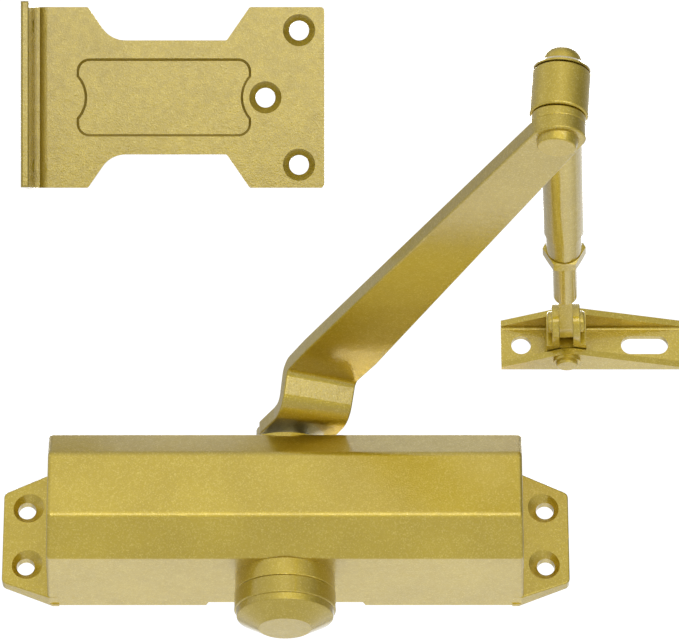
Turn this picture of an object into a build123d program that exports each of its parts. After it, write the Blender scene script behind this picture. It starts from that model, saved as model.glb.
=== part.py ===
from build123d import *

import math
import os

os.makedirs("parts", exist_ok=True)

# A surface-mounted hydraulic door closer with a double-lever arm.
# Millimetres. X runs along the body, Y points into the door, Z is up along the spindle.
# The origin is the centre of the four fixing holes, on the back face of the body.

# ---------------------------------------------------------------- driving dimensions
# Housing casting
HOLE_SPACING_X = 162.0
HOLE_SPACING_Z = 19.0
BODY_HEIGHT = 42.0
BODY_DEPTH = 46.0
BODY_DRAFT = 0.3
CHAMFER_HEIGHT = 10.4
CHAMFER_DEPTH = 9.5
BODY_HALF_BACK = 74.15
BODY_HALF_FRONT = 72.4
FOOT_HALF_LENGTH = 88.3
FOOT_TIP_HALF_HEIGHT = 15.0
FOOT_SLOPE = 0.40
FOOT_TIP_THICKNESS = 4.2
FOOT_TILT = 0.13
FOOT_INSET = 2.0
FOOT_CORNER_R = 2.0
FOOT_RIM_ROUND = 0.5
FIXING_HOLE_R = 2.8
FIXING_SINK_R = 4.8
RELIEF_HALF_LENGTH = 23.8
RELIEF_DEPTH = 1.0
RELIEF_REACH = 9.0
WALL = 1.2

# Spindle line, with the hydraulic parts on it
SPINDLE_Y = -22.0
BOSS_R = 15.4
UPPER_BOSS_HEIGHT = 0.15
LOWER_BOSS_HEIGHT = 5.2
FRONT_EDGE_ROUND = 2.8
CHAMFER_EDGE_ROUND = 1.2
RIM_ROUND = 0.35
CYLINDER_R = 15.0
PLUG_R = 16.5
PLUG_INNER_X = 61.0
PLUG_OUTER_X = 71.6
SPINDLE_BORE_R = 9.6
GLAND_R = 12.0
GLAND_INNER_Z = 19.3
GLAND_OUTER_Z = 21.1
BEARING_INNER_Z = 13.0
BEARING_OUTER_Z = 17.6
SEAL_OUTER_Z = 19.2
JOURNAL_R = 7.0
NECK_R = 6.0
SQUARE = 10.0
RUNNING_GAP = 0.05
CLEAR_GAP = 0.1
PRESS_GAP = 0.02

# Rack and pinion
MODULE = 1.75
TEETH = 9
PRESSURE_ANGLE = math.radians(25.0)
PITCH_R = MODULE * TEETH / 2
PINION_ADDENDUM = 0.9 * MODULE
RACK_ADDENDUM = 0.78 * MODULE
TIP_CLEARANCE = 0.35
BACKLASH = 0.25
PINION_HALF_HEIGHT = 11.5
RACK_HALF_HEIGHT = 11.0

# Main arm, a pressed strip from the spindle to the elbow
ARM_ANGLE = math.radians(23.1)
ARM_LENGTH = 197.26
ARM_THICKNESS = 4.2
ARM_BASE_Z = 24.0
ARM_OUTER_Z = 35.4
ARM_BASE_HALF_WIDTH = 12.2
ARM_HEEL_R = 9.2
ARM_TIP_HALF_WIDTH = 7.9
ARM_EDGE_ROUND = 0.6
JOGGLE_FOOT = 22.9
JOGGLE_HEAD = 27.5

# Elbow, forearm and adjustable rod
FOREARM_Z = 50.0
ELBOW_LEAN = math.radians(4.5)
ELBOW_PIN_R = 4.0
HUB_R = 8.25
HUB_BOTTOM_Z = 43.0
HUB_TOP_Z = 56.5
COLLAR_R = 7.7
COLLAR_ROUND = 0.6
TUBE_R = 6.0
TUBE_END_R = 5.4
TUBE_STEP_AT = 84.2
TUBE_END_AT = 96.5
ROD_R = 3.65
ROD_START_AT = 52.0
ROD_SHOULDER_AT = 128.9
CLEVIS_RIVET_AT = 148.0
NUT_FLATS = 11.2
NUT_LENGTH = 4.5

# Swivel clevis and shoe
PIN_X = 86.8
PIN_Y = -45.1
PIN_R = 2.6
BLADE_THICKNESS = 4.1
BLADE_R = 4.8
EAR_R = 5.6
EAR_HALF_WIDTH = 4.35
EAR_ROUND = 0.4
BLOCK_HALF_WIDTH = 6.1
BARREL_R = 5.8
CLEVIS_HALF_HEIGHT = 5.7
SHOE_LEFT_X = 66.8
SHOE_RIGHT_X = 122.5
SHOE_BACK_Y = -37.0
SHOE_SHEET = 2.0
SHOE_HALF_HEIGHT = 8.0
SHOE_TIP_DEPTH = 2.9
SHOE_DEPTH = 13.0
SHOE_HOLE_X = 73.0
SHOE_SLOT_X = 111.3
SHOE_HOLE_R = 3.05
SHOE_SLOT_LENGTH = 14.6

# Loose bracket for fixing the shoe under a frame head, leaning forward
BRACKET_X = -35.0
BRACKET_Y = -13.87
BRACKET_Z = 150.33
BRACKET_LEAN = math.radians(25.62)
BRACKET_SHEET = 3.5
BRACKET_HALF_HEIGHT = 29.15
BRACKET_LEFT = -48.2
BRACKET_RIGHT = 46.9
BRACKET_NECK = 18.4
BRACKET_FLANGE = 27.0
FLANGE_SHEET = 2.6
FLANGE_HALF_HEIGHT = 29.65
FLANGE_LEAN = math.radians(3.0)
BRACKET_HOLE_R = 3.2
BRACKET_SINK_R = 5.2


# ---------------------------------------------------------------- places and helpers
def on_spindle(z):
    """The horizontal plane at height z, centred on the spindle."""
    return Plane((0, SPINDLE_Y, z))


def across_cylinder(x):
    """The plane across the cylinder at x, facing +X, centred on the cylinder's axis."""
    return Plane((x, SPINDLE_Y, 0), x_dir=(0, 1, 0), z_dir=(1, 0, 0))


ARM_DIRECTION = Vector(math.sin(ARM_ANGLE), -math.cos(ARM_ANGLE), 0)
ARM_ACROSS = Vector(math.cos(ARM_ANGLE), math.sin(ARM_ANGLE), 0)
ARM_MIDDLE_Z = ARM_OUTER_Z + ARM_THICKNESS / 2
ARM_TIP = Vector(0, SPINDLE_Y, ARM_MIDDLE_Z) + ARM_DIRECTION * ARM_LENGTH
ELBOW_AXIS = Vector(math.sin(ELBOW_LEAN), 0, math.cos(ELBOW_LEAN))
ELBOW = Vector(ARM_TIP.X + (FOREARM_Z - ARM_MIDDLE_Z) * math.tan(ELBOW_LEAN), ARM_TIP.Y, 0)
FOREARM_DIRECTION = (Vector(PIN_X, PIN_Y, 0) - ELBOW).normalized()
FOREARM_ACROSS = Vector(FOREARM_DIRECTION.Y, -FOREARM_DIRECTION.X, 0)
FOREARM_LENGTH = (Vector(PIN_X, PIN_Y, 0) - ELBOW).length


def on_elbow(z):
    """The plane across the elbow's axis, which leans to the right, at height z along it."""
    side = Vector(math.cos(ELBOW_LEAN), 0, -math.sin(ELBOW_LEAN))
    return Plane(ARM_TIP + ELBOW_AXIS * (z - ARM_MIDDLE_Z), x_dir=side, z_dir=ELBOW_AXIS)


def on_forearm(distance):
    """The plane across the forearm at a distance from the elbow, facing the shoe."""
    centre = ELBOW + FOREARM_DIRECTION * distance + Vector(0, 0, FOREARM_Z)
    return Plane(centre, x_dir=-FOREARM_ACROSS, z_dir=FOREARM_DIRECTION)


def forearm_plan(z):
    """The horizontal plane at height z on the elbow, with its x along the forearm."""
    return Plane((ELBOW.X, ELBOW.Y, z), x_dir=FOREARM_DIRECTION, z_dir=(0, 0, 1))


def save(builder, label):
    builder.part.label = label
    export_step(builder.part, f"parts/{label}.step")


def ring(label, plane, outer, inner, height):
    """A plain turned ring standing on a plane."""
    with BuildPart() as turned:
        with BuildSketch(plane):
            Circle(outer)
            Circle(inner, mode=Mode.SUBTRACT)
        extrude(amount=height)
    save(turned, label)


def o_ring(label, plane, major, minor):
    """A rubber ring lying in a plane."""
    with BuildPart(plane) as torus:
        Torus(major, minor)
    save(torus, label)


# ---------------------------------------------------------------- housing
HALF = BODY_HEIGHT / 2
HALF_AT_CHAMFER = HALF - BODY_DRAFT
CHAMFER_Y = -BODY_DEPTH + CHAMFER_DEPTH
VALVE_Y = -8.6
VALVE_Z = 17.0
VALVE_R = 2.2
VALVE_TIP_X = -54.0
PORT_X = -57.5
PORT_R = 1.1

with BuildPart() as housing:
    # The side view: drafted top and bottom, and a chamfer above and below the front
    with BuildSketch(Plane.YZ):
        with BuildLine():
            Polyline(
                (0, -HALF),
                (CHAMFER_Y, -HALF_AT_CHAMFER),
                (-BODY_DEPTH, -HALF_AT_CHAMFER + CHAMFER_HEIGHT),
                (-BODY_DEPTH, HALF_AT_CHAMFER - CHAMFER_HEIGHT),
                (CHAMFER_Y, HALF_AT_CHAMFER),
                (0, HALF),
                close=True,
            )
        make_face()
    extrude(amount=BODY_HALF_BACK, both=True)
    # The plan: both ends narrow towards the front
    with BuildSketch(Plane.XY):
        with BuildLine():
            Polyline(
                (-BODY_HALF_BACK, 0),
                (BODY_HALF_BACK, 0),
                (BODY_HALF_FRONT, -BODY_DEPTH),
                (-BODY_HALF_FRONT, -BODY_DEPTH),
                close=True,
            )
        make_face()
    extrude(amount=HALF, both=True, mode=Mode.INTERSECT)
    # Soft casting edges: the long front edges first, then round each end face
    for reach, radius in ((-BODY_DEPTH, FRONT_EDGE_ROUND), (CHAMFER_Y, CHAMFER_EDGE_ROUND)):
        long_edges = housing.edges().filter_by(Axis.X)
        fillet(long_edges.filter_by(lambda e: abs(e.center().Y - reach) < CLEAR_GAP), radius)
    for end in (-1, 1):
        end_face = housing.faces().sort_by(Axis.X)[0 if end < 0 else -1]
        rim = end_face.edges().filter_by(lambda e: e.center().Y < -WALL)
        fillet(rim, WALL)
    # A shallow relief along the middle of the top and bottom rear edges
    for side in (-1, 1):
        with BuildSketch(Plane.XY.offset(side * HALF)):
            with BuildLine():
                Polyline(
                    (-RELIEF_HALF_LENGTH - RELIEF_DEPTH, 0),
                    (RELIEF_HALF_LENGTH + RELIEF_DEPTH, 0),
                    (RELIEF_HALF_LENGTH - RELIEF_REACH / 4, -RELIEF_REACH),
                    (-RELIEF_HALF_LENGTH + RELIEF_REACH / 4, -RELIEF_REACH),
                    close=True,
                )
            make_face()
        extrude(amount=-side * RELIEF_DEPTH, mode=Mode.SUBTRACT)
    # Feet: a six-sided plate behind the body, thinner towards its tips
    foot_inner = BODY_HALF_FRONT - FOOT_INSET
    foot_root = FOOT_TIP_HALF_HEIGHT + FOOT_SLOPE * (FOOT_HALF_LENGTH - BODY_HALF_FRONT)
    foot_inner_thickness = FOOT_TIP_THICKNESS + FOOT_TILT * (FOOT_HALF_LENGTH - foot_inner)
    for end in (-1, 1):
        with BuildSketch(Plane.XY) as foot_plan:
            with BuildLine():
                Polyline(
                    (end * foot_inner, 0),
                    (end * FOOT_HALF_LENGTH, 0),
                    (end * FOOT_HALF_LENGTH, -FOOT_TIP_THICKNESS),
                    (end * foot_inner, -foot_inner_thickness),
                    close=True,
                )
            make_face()
        with BuildSketch(Plane.XZ) as foot_front:
            with BuildLine():
                Polyline(
                    (end * foot_inner, -foot_root),
                    (end * BODY_HALF_FRONT, -foot_root),
                    (end * FOOT_HALF_LENGTH, -FOOT_TIP_HALF_HEIGHT),
                    (end * FOOT_HALF_LENGTH, FOOT_TIP_HALF_HEIGHT),
                    (end * BODY_HALF_FRONT, foot_root),
                    (end * foot_inner, foot_root),
                    close=True,
                )
            make_face()
            corners = foot_front.vertices().filter_by(lambda v: abs(v.X) > BODY_HALF_BACK)
            fillet(corners, FOOT_CORNER_R)
        with BuildPart(mode=Mode.PRIVATE) as foot:
            extrude(foot_front.sketch, amount=BODY_DEPTH / 4)
            extrude(foot_plan.sketch, amount=HALF, both=True, mode=Mode.INTERSECT)
            front_rim = foot.faces().sort_by(Axis.Y)[0].edges()
            fillet(front_rim.filter_by(lambda e: abs(e.center().X) > BODY_HALF_BACK), FOOT_RIM_ROUND)
        add(foot.part)
    # Round bosses for the spindle
    with BuildSketch(on_spindle(HALF - WALL)):
        Circle(BOSS_R)
    extrude(amount=WALL + UPPER_BOSS_HEIGHT)
    with BuildSketch(on_spindle(-HALF_AT_CHAMFER)):
        Circle(BOSS_R)
    extrude(amount=HALF_AT_CHAMFER - HALF - LOWER_BOSS_HEIGHT)
    boss_rim = housing.faces().sort_by(Axis.Z)[0].edges()
    fillet(boss_rim, RIM_ROUND)
    # Cylinder for the piston, wider at both ends for the plugs
    with BuildSketch(across_cylinder(-BODY_HALF_BACK)):
        Circle(CYLINDER_R)
    extrude(amount=2 * BODY_HALF_BACK, mode=Mode.SUBTRACT)
    for end in (-1, 1):
        with BuildSketch(across_cylinder(end * PLUG_INNER_X)):
            Circle(PLUG_R)
        extrude(amount=end * (BODY_HALF_BACK - PLUG_INNER_X), mode=Mode.SUBTRACT)
    # Spindle bore with a wider seat for each gland ring, and for the cap below
    with BuildSketch(on_spindle(-HALF - LOWER_BOSS_HEIGHT)):
        Circle(SPINDLE_BORE_R)
    extrude(amount=BODY_HEIGHT + LOWER_BOSS_HEIGHT + UPPER_BOSS_HEIGHT, mode=Mode.SUBTRACT)
    with BuildSketch(on_spindle(GLAND_INNER_Z)):
        Circle(GLAND_R)
    extrude(amount=WALL * 2, mode=Mode.SUBTRACT)
    with BuildSketch(on_spindle(-GLAND_INNER_Z)):
        Circle(GLAND_R)
    extrude(amount=-LOWER_BOSS_HEIGHT * 2, mode=Mode.SUBTRACT)
    # Two regulating valve bores in the left end, each with a port into the cylinder
    for side in (-1, 1):
        with BuildSketch(Plane((VALVE_TIP_X, VALVE_Y, side * VALVE_Z), x_dir=(0, 1, 0), z_dir=(-1, 0, 0))):
            Circle(VALVE_R + RUNNING_GAP)
        extrude(amount=BODY_HALF_BACK + VALVE_TIP_X, mode=Mode.SUBTRACT)
        with BuildSketch(Plane((PORT_X, VALVE_Y, side * VALVE_Z))):
            Circle(PORT_R)
        extrude(amount=-side * (VALVE_Z - CYLINDER_R / 3), mode=Mode.SUBTRACT)
    # Four countersunk fixing holes through the feet
    hole_thickness = FOOT_TIP_THICKNESS + FOOT_TILT * (FOOT_HALF_LENGTH - HOLE_SPACING_X / 2)
    with Locations(Plane.XZ.offset(hole_thickness + WALL / 2)):
        with GridLocations(HOLE_SPACING_X, HOLE_SPACING_Z, 2, 2):
            CounterSinkHole(FIXING_HOLE_R, FIXING_SINK_R + WALL / 2, BODY_DEPTH / 2, 90)
save(housing, "housing")

# ---------------------------------------------------------------- end plugs
PLUG_GROOVE_X = 65.5
PLUG_GROOVE_WIDTH = 2.8
ORING_R = 1.1
PLUG_BEVEL = 0.6
SPANNER_HOLE_R = 1.9
SPANNER_HOLE_SPACING = 20.0
SPANNER_HOLE_DEPTH = 5.0

for end, label in ((-1, "left_end_plug"), (1, "right_end_plug")):
    with BuildPart() as plug:
        with BuildSketch(across_cylinder(end * PLUG_INNER_X)):
            Circle(PLUG_R - CLEAR_GAP)
        extrude(amount=end * (PLUG_OUTER_X - PLUG_INNER_X))
        chamfer(plug.edges().filter_by(GeomType.CIRCLE), PLUG_BEVEL)
        with BuildSketch(across_cylinder(end * PLUG_GROOVE_X)):
            Circle(PLUG_R)
            Circle(PLUG_R - 2 * ORING_R - CLEAR_GAP, mode=Mode.SUBTRACT)
        extrude(amount=PLUG_GROOVE_WIDTH / 2, both=True, mode=Mode.SUBTRACT)
        # Two blind holes for a pin spanner
        with BuildSketch(across_cylinder(end * PLUG_OUTER_X)):
            with GridLocations(SPANNER_HOLE_SPACING, 0, 2, 1):
                Circle(SPANNER_HOLE_R)
        extrude(amount=-end * SPANNER_HOLE_DEPTH, mode=Mode.SUBTRACT)
    save(plug, label)
    seal_major_r = PLUG_R - ORING_R - RUNNING_GAP
    o_ring(label + "_seal", across_cylinder(end * PLUG_GROOVE_X), seal_major_r, ORING_R - PRESS_GAP)

# ---------------------------------------------------------------- spindle supports
for side, place in ((1, "upper"), (-1, "lower")):
    length = side * (BEARING_OUTER_Z - BEARING_INNER_Z)
    ring(
        place + "_bearing",
        on_spindle(side * BEARING_INNER_Z),
        SPINDLE_BORE_R - RUNNING_GAP,
        JOURNAL_R + RUNNING_GAP,
        length,
    )
    ring(
        place + "_shaft_seal",
        on_spindle(side * (BEARING_OUTER_Z + CLEAR_GAP)),
        SPINDLE_BORE_R - RUNNING_GAP,
        NECK_R + RUNNING_GAP,
        side * (SEAL_OUTER_Z - BEARING_OUTER_Z - CLEAR_GAP),
    )
    ring(
        place + "_gland_ring",
        on_spindle(side * (GLAND_INNER_Z + CLEAR_GAP)),
        GLAND_R - RUNNING_GAP,
        NECK_R + RUNNING_GAP,
        side * (GLAND_OUTER_Z - GLAND_INNER_Z - CLEAR_GAP),
    )

# ---------------------------------------------------------------- spindle with its pinion
SPINDLE_TOP = ARM_BASE_Z + ARM_THICKNESS - 2 * CLEAR_GAP
SPINDLE_BOTTOM = -33.0
SQUARE_BELOW = -24.0
ARM_SCREW_R = 3.0
ARM_SCREW_DEPTH = 12.0

BASE_R = PITCH_R * math.cos(PRESSURE_ANGLE)
TIP_R = PITCH_R + PINION_ADDENDUM
ROOT_R = PITCH_R - RACK_ADDENDUM - TIP_CLEARANCE
TOOTH_PITCH = math.pi * MODULE


def involute(angle):
    return math.tan(angle) - angle


def flank(radius, hand, middle):
    """The point of a tooth's flank at a radius. middle is the direction of the tooth."""
    half_at_pitch = (TOOTH_PITCH / 2 - BACKLASH / 2) / (2 * PITCH_R)
    contact = math.acos(min(1, BASE_R / radius))
    half = half_at_pitch + involute(PRESSURE_ANGLE) - involute(contact)
    turn = middle + hand * half
    return (radius * math.cos(turn), radius * math.sin(turn))


with BuildPart() as spindle:
    with BuildSketch(on_spindle(-PINION_HALF_HEIGHT)):
        Circle(ROOT_R)
        for tooth in range(TEETH):
            middle = -math.pi / 2 + tooth * 2 * math.pi / TEETH
            with BuildLine():
                radii = [BASE_R + (TIP_R - BASE_R) * step / 3 for step in range(4)]
                right = Spline(*[flank(radius, -1, middle) for radius in radii])
                left = Spline(*[flank(radius, 1, middle) for radius in radii])
                Line(right @ 1, left @ 1)
                Polyline(right @ 0, (0, 0), left @ 0)
            make_face()
    extrude(amount=2 * PINION_HALF_HEIGHT)
    for side, square_z, tip_z in ((1, ARM_BASE_Z, SPINDLE_TOP), (-1, SQUARE_BELOW, SPINDLE_BOTTOM)):
        with BuildSketch(on_spindle(side * PINION_HALF_HEIGHT)):
            Circle(JOURNAL_R)
        extrude(amount=side * (BEARING_OUTER_Z - PINION_HALF_HEIGHT))
        with BuildSketch(on_spindle(side * BEARING_OUTER_Z)):
            Circle(NECK_R)
        extrude(amount=square_z - side * BEARING_OUTER_Z)
        with BuildSketch(Plane((0, SPINDLE_Y, square_z), x_dir=ARM_DIRECTION, z_dir=(0, 0, 1))):
            Rectangle(SQUARE, SQUARE)
            Circle(NECK_R, mode=Mode.INTERSECT)
        extrude(amount=tip_z - square_z)
        with BuildSketch(on_spindle(tip_z)):
            Circle(ARM_SCREW_R)
        extrude(amount=-side * ARM_SCREW_DEPTH, mode=Mode.SUBTRACT)
save(spindle, "spindle")

# ---------------------------------------------------------------- piston with its rack
PISTON_LEFT = -47.0
PISTON_RIGHT = 26.0
SLOT_LEFT = -36.0
SLOT_RIGHT = 10.2
PISTON_BEVEL = 0.8
SPRING_POCKET_R = 13.0
SPRING_POCKET_DEPTH = 10.0
PISTON_R = CYLINDER_R - RUNNING_GAP
RACK_PITCH_Y = SPINDLE_Y - PITCH_R
RACK_TIP_Y = RACK_PITCH_Y + RACK_ADDENDUM
RACK_ROOT_Y = RACK_PITCH_Y - PINION_ADDENDUM - TIP_CLEARANCE
SLOT_BACK_Y = SPINDLE_Y + TIP_R + TIP_CLEARANCE
OIL_HOLE_R = 1.2
BALL_R = 2.2
BALL_POCKET_R = 2.5
BALL_POCKET_DEPTH = 6.0
BALL_SEAT = 0.4


def gap_half_width(y):
    """Half the width of the space between two rack teeth at depth y."""
    return TOOTH_PITCH / 4 + (y - RACK_PITCH_Y) * math.tan(PRESSURE_ANGLE)


with BuildPart() as piston:
    with BuildSketch(across_cylinder(PISTON_LEFT)):
        Circle(PISTON_R)
    extrude(amount=PISTON_RIGHT - PISTON_LEFT)
    chamfer(piston.edges().filter_by(GeomType.CIRCLE), PISTON_BEVEL)
    with BuildSketch(Plane.XY.offset(-CYLINDER_R)):
        with BuildLine():
            Polyline(
                (SLOT_LEFT, RACK_ROOT_Y),
                (SLOT_RIGHT, RACK_ROOT_Y),
                (SLOT_RIGHT, SLOT_BACK_Y),
                (SLOT_LEFT, SLOT_BACK_Y),
                close=True,
            )
        make_face()
    extrude(amount=2 * CYLINDER_R, mode=Mode.SUBTRACT)
    # Rack teeth on the front wall of the slot, facing the pinion
    for tooth in range(-6, 1):
        centre = (tooth + 0.5) * TOOTH_PITCH
        tip_half = TOOTH_PITCH / 2 - gap_half_width(RACK_TIP_Y)
        root_half = TOOTH_PITCH / 2 - gap_half_width(RACK_ROOT_Y)
        with BuildSketch(Plane.XY.offset(-RACK_HALF_HEIGHT)):
            with BuildLine():
                Polyline(
                    (centre - root_half, RACK_ROOT_Y),
                    (centre - tip_half, RACK_TIP_Y),
                    (centre + tip_half, RACK_TIP_Y),
                    (centre + root_half, RACK_ROOT_Y),
                    close=True,
                )
            make_face()
        extrude(amount=2 * RACK_HALF_HEIGHT)
    with BuildSketch(across_cylinder(PISTON_RIGHT)):
        Circle(SPRING_POCKET_R)
    extrude(amount=-SPRING_POCKET_DEPTH, mode=Mode.SUBTRACT)
    # Oil way through the left head, with a pocket for the check ball
    with BuildSketch(across_cylinder(PISTON_LEFT)):
        Circle(OIL_HOLE_R)
    extrude(amount=SLOT_LEFT - PISTON_LEFT, mode=Mode.SUBTRACT)
    with BuildSketch(across_cylinder(PISTON_LEFT)):
        Circle(BALL_POCKET_R)
    extrude(amount=BALL_POCKET_DEPTH, mode=Mode.SUBTRACT)
save(piston, "piston")

with BuildPart(across_cylinder(PISTON_LEFT + BALL_POCKET_DEPTH - BALL_R - BALL_SEAT)) as ball:
    Sphere(BALL_R)
save(ball, "check_ball")

ring(
    "check_ball_retainer",
    across_cylinder(PISTON_LEFT),
    BALL_POCKET_R - PRESS_GAP,
    OIL_HOLE_R,
    WALL / 2,
)

# ---------------------------------------------------------------- return spring
SPRING_WIRE_R = 1.6
SPRING_COIL_R = 11.0
SPRING_TURNS = 5
SPRING_LEFT = PISTON_RIGHT - SPRING_POCKET_DEPTH + SPRING_WIRE_R + CLEAR_GAP
SPRING_RIGHT = PLUG_INNER_X - SPRING_WIRE_R - CLEAR_GAP
spring_length = SPRING_RIGHT - SPRING_LEFT

with BuildPart() as spring:
    with BuildLine() as coil:
        Helix(
            spring_length / SPRING_TURNS,
            spring_length,
            SPRING_COIL_R,
            center=(SPRING_LEFT, SPINDLE_Y, 0),
            direction=(1, 0, 0),
        )
    with BuildSketch(Plane(coil.line @ 0, z_dir=coil.line % 0)):
        Circle(SPRING_WIRE_R)
    sweep(is_frenet=True)
save(spring, "return_spring")

# ---------------------------------------------------------------- regulating valves
VALVE_HEAD_X = -72.6
VALVE_POINT_X = -56.5
VALVE_CONE = 3.0
VALVE_POINT_INSET = 1.54
VALVE_SLOT_WIDTH = 0.8
VALVE_SLOT_DEPTH = 1.5
VALVE_GROOVE_X = -68.0
VALVE_ORING_R = 0.55

for side, label in ((1, "closing_speed_valve"), (-1, "latching_speed_valve")):
    head_plane = Plane((VALVE_HEAD_X, VALVE_Y, side * VALVE_Z), x_dir=(0, 1, 0), z_dir=(1, 0, 0))
    groove_plane = head_plane.offset(VALVE_GROOVE_X - VALVE_HEAD_X)
    with BuildPart() as valve:
        with BuildSketch(head_plane):
            Circle(VALVE_R)
        extrude(amount=VALVE_POINT_X - VALVE_HEAD_X)
        chamfer(valve.faces().sort_by(Axis.X)[-1].edges(), VALVE_CONE, VALVE_POINT_INSET)
        with BuildSketch(groove_plane):
            Circle(VALVE_R)
            Circle(VALVE_R - 2 * VALVE_ORING_R, mode=Mode.SUBTRACT)
        extrude(amount=VALVE_ORING_R + CLEAR_GAP, both=True, mode=Mode.SUBTRACT)
        with BuildSketch(head_plane):
            Rectangle(4 * VALVE_R, VALVE_SLOT_WIDTH)
        extrude(amount=VALVE_SLOT_DEPTH, mode=Mode.SUBTRACT)
    save(valve, label)
    o_ring(label + "_seal", groove_plane, VALVE_R - VALVE_ORING_R + PRESS_GAP, VALVE_ORING_R - PRESS_GAP)

# ---------------------------------------------------------------- spindle cap
CAP_TOP = -HALF - LOWER_BOSS_HEIGHT - CLEAR_GAP
CAP_R = 15.6
CAP_GROOVE_Z = -31.9
CAP_GROOVE_R = 15.1
CAP_CONE_R = 14.8
CAP_CONE_Z = -34.0
CAP_FACE_R = 8.1
CAP_BOTTOM_Z = -37.9
CAP_SPIGOT_TOP = -22.0
CAP_CAVITY_R = 9.0
CAP_CAVITY_FLOOR = -34.0

with BuildPart() as cap:
    with BuildSketch(Plane((0, SPINDLE_Y, 0), x_dir=(1, 0, 0), z_dir=(0, -1, 0))) as cap_section:
        with BuildLine():
            Polyline(
                (0, CAP_TOP),
                (CAP_R, CAP_TOP),
                (CAP_R, CAP_GROOVE_Z),
                (CAP_GROOVE_R, CAP_GROOVE_Z - CLEAR_GAP),
                (CAP_CONE_R, CAP_CONE_Z),
                (CAP_FACE_R, CAP_BOTTOM_Z + CLEAR_GAP),
                (0, CAP_BOTTOM_Z),
                close=True,
            )
        make_face()
        rims = cap_section.vertices().filter_by(lambda v: v.X > CAP_FACE_R and v.X != CAP_GROOVE_R)
        fillet(rims, RIM_ROUND)
    revolve(axis=Axis((0, SPINDLE_Y, 0), (0, 0, 1)))
    with BuildSketch(on_spindle(CAP_SPIGOT_TOP)):
        Circle(GLAND_R - CLEAR_GAP)
    extrude(amount=CAP_TOP - CAP_SPIGOT_TOP - WALL)
    with BuildSketch(on_spindle(CAP_SPIGOT_TOP)):
        Circle(CAP_CAVITY_R)
    extrude(amount=CAP_CAVITY_FLOOR - CAP_SPIGOT_TOP, mode=Mode.SUBTRACT)
save(cap, "spindle_cap")

# ---------------------------------------------------------------- main arm and its screw
SEAT_WASHER_R = 7.6
SEAT_WASHER_THICKNESS = 1.4
ARM_WASHER_R = 7.5
ARM_WASHER_THICKNESS = 1.6
ARM_SCREW_FLATS = 10.0
ARM_SCREW_HEAD = 4.4
arm_top = ARM_BASE_Z + ARM_THICKNESS

ring(
    "arm_seat_washer",
    on_spindle(ARM_BASE_Z - SEAT_WASHER_THICKNESS),
    SEAT_WASHER_R,
    NECK_R + RUNNING_GAP,
    SEAT_WASHER_THICKNESS,
)

HEEL_START = 4.0
HEEL_SHOULDER_AT = 3.0
ARM_HEEL_HALF_WIDTH = 10.4
WAIST_AT = 15.0
WAIST_HALF_WIDTH = 10.2
STEP_AT = 24.0
STEP_LEFT_HALF_WIDTH = 10.9
STEP_RIGHT_HALF_WIDTH = 11.9
ARM_FULL_AT = 42.0
ARM_LEFT_HALF_WIDTH = 11.2
ARM_RIGHT_HALF_WIDTH = 12.5
UNDERSIDE_ROUNDS = (8.0, 2.5)
LEFT_EDGE_ROUNDS = (4.0, 8.0, 8.0, 30.0)
RIGHT_EDGE_ROUNDS = (6.0, 30.0, 30.0)
SQUARE_CORNER_R = 0.3
ARM_SIDE = Plane((0, SPINDLE_Y, 0), x_dir=ARM_DIRECTION, z_dir=-ARM_ACROSS)
ARM_PLAN = Plane((0, SPINDLE_Y, 0), x_dir=ARM_DIRECTION, z_dir=(0, 0, 1))

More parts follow.
